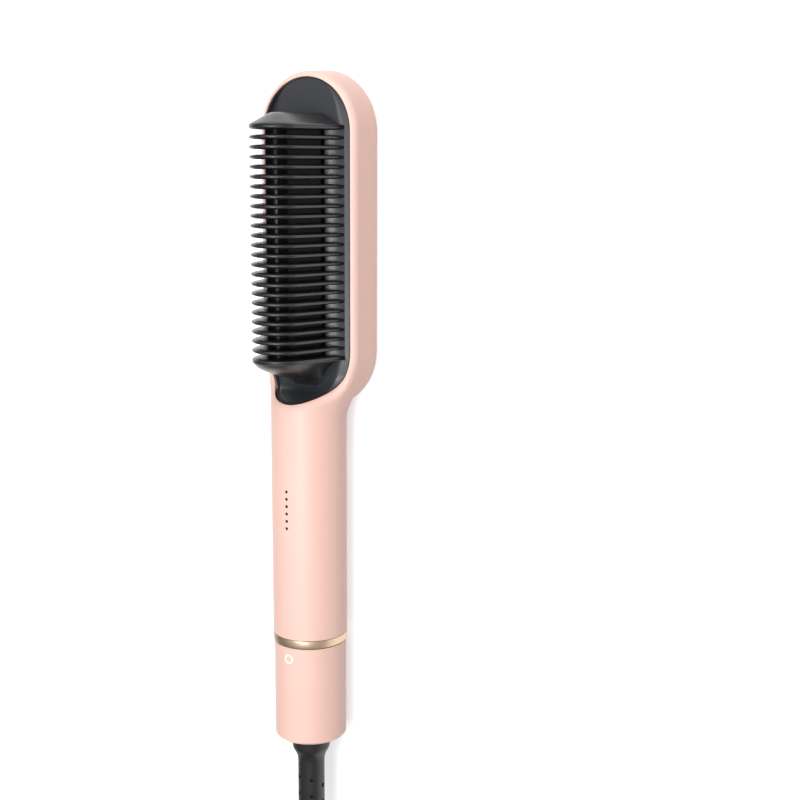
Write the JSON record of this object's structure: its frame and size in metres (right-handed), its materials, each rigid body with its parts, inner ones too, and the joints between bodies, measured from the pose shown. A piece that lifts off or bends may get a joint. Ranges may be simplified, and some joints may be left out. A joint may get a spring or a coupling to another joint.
{
  "type": "hair straightening brush",
  "caption": "Heated straightening brush with a comb of arched blades, a round handle, a rotary temperature dial and a swivel mains lead.",
  "frame": {"origin": "under the middle of the body, on the face of the back that it lies on, at the centre of its box without the cord and its strain relief", "axes": "+Y along the handle towards the head, +Z out of the comb side, +X to the right seen from the comb side with the head up"},
  "size_m": [0.0559, 0.5081, 0.0432],
  "materials": {
    "shell": "soft matt moulding",
    "trim_metal": "brushed champagne",
    "dark_panel": "satin",
    "comb_plastic": "satin",
    "comb_coating": "gloss ceramic coat",
    "ceramic_white": "fired ceramic",
    "amber_film": "film",
    "aluminium": "as rolled",
    "steel": "zinc plated",
    "mica": "sheet",
    "wire_red": "silicone sleeve",
    "wire_blue": "sleeve",
    "wire_yellow": "sleeve",
    "inner_plastic": "as moulded",
    "circuit_board": "solder mask",
    "chip_black": "moulded",
    "capacitor_sleeve": "sleeve",
    "led_white": "clear moulding",
    "clear_guide": "polished",
    "brass": "plain",
    "black_plastic": "as moulded",
    "cord_rubber": "satin",
    "tie_fabric": "hook and loop",
    "plated_pins": "nickel plated"
  },
  "bodies": {
    "root": {"main_shell": "shell", "back_trim": "trim_metal", "back_panel": "shell", "front_bezel": "dark_panel", "comb_guard": "comb_plastic", "heating_comb": "comb_coating", "heater_element": "ceramic_white", "heater_insulation": "amber_film", "heater_clamps": "aluminium", "comb_screws": "steel", "temp_sensor": "ceramic_white", "thermal_fuse": "steel", "heat_shield": "mica", "heater_wires": "wire_red", "bezel_screws": "steel", "handle_chassis": "inner_plastic", "main_board": "circuit_board", "control_chip": "chip_black", "board_capacitor": "capacitor_sleeve", "board_triac": "chip_black", "status_leds": "led_white", "light_guide": "clear_guide", "supply_wires": "wire_blue", "dial_wires": "wire_yellow", "handle_ring": "trim_metal", "end_bush": "inner_plastic", "switch_board": "circuit_board", "detent_spring": "steel", "detent_ball": "steel", "dial_clip": "steel", "contact_carrier": "chip_black", "brush_contacts": "brass", "cord_lead": "cord_rubber", "cord_hank": "cord_rubber", "cord_tie": "tie_fabric", "plug_body": "cord_rubber", "plug_pins": "plated_pins"},
    "dial": {"dial_cap": "shell", "dial_wiper": "brass"},
    "swivel": {"swivel_barrel": "black_plastic", "slip_rings": "brass", "strain_relief": "cord_rubber"}
  },
  "joints": [
    {"name": "dial_turn", "type": "hinge", "parent": "root", "child": "dial", "pos_m": [0, -0.113, 0.015], "axis": [0, 1, 0], "range_deg": [0, 225]},
    {"name": "cord_swivel", "type": "hinge", "parent": "root", "child": "swivel", "pos_m": [0, -0.13, 0.015], "axis": [0, 1, 0], "continuous": true}
  ]
}
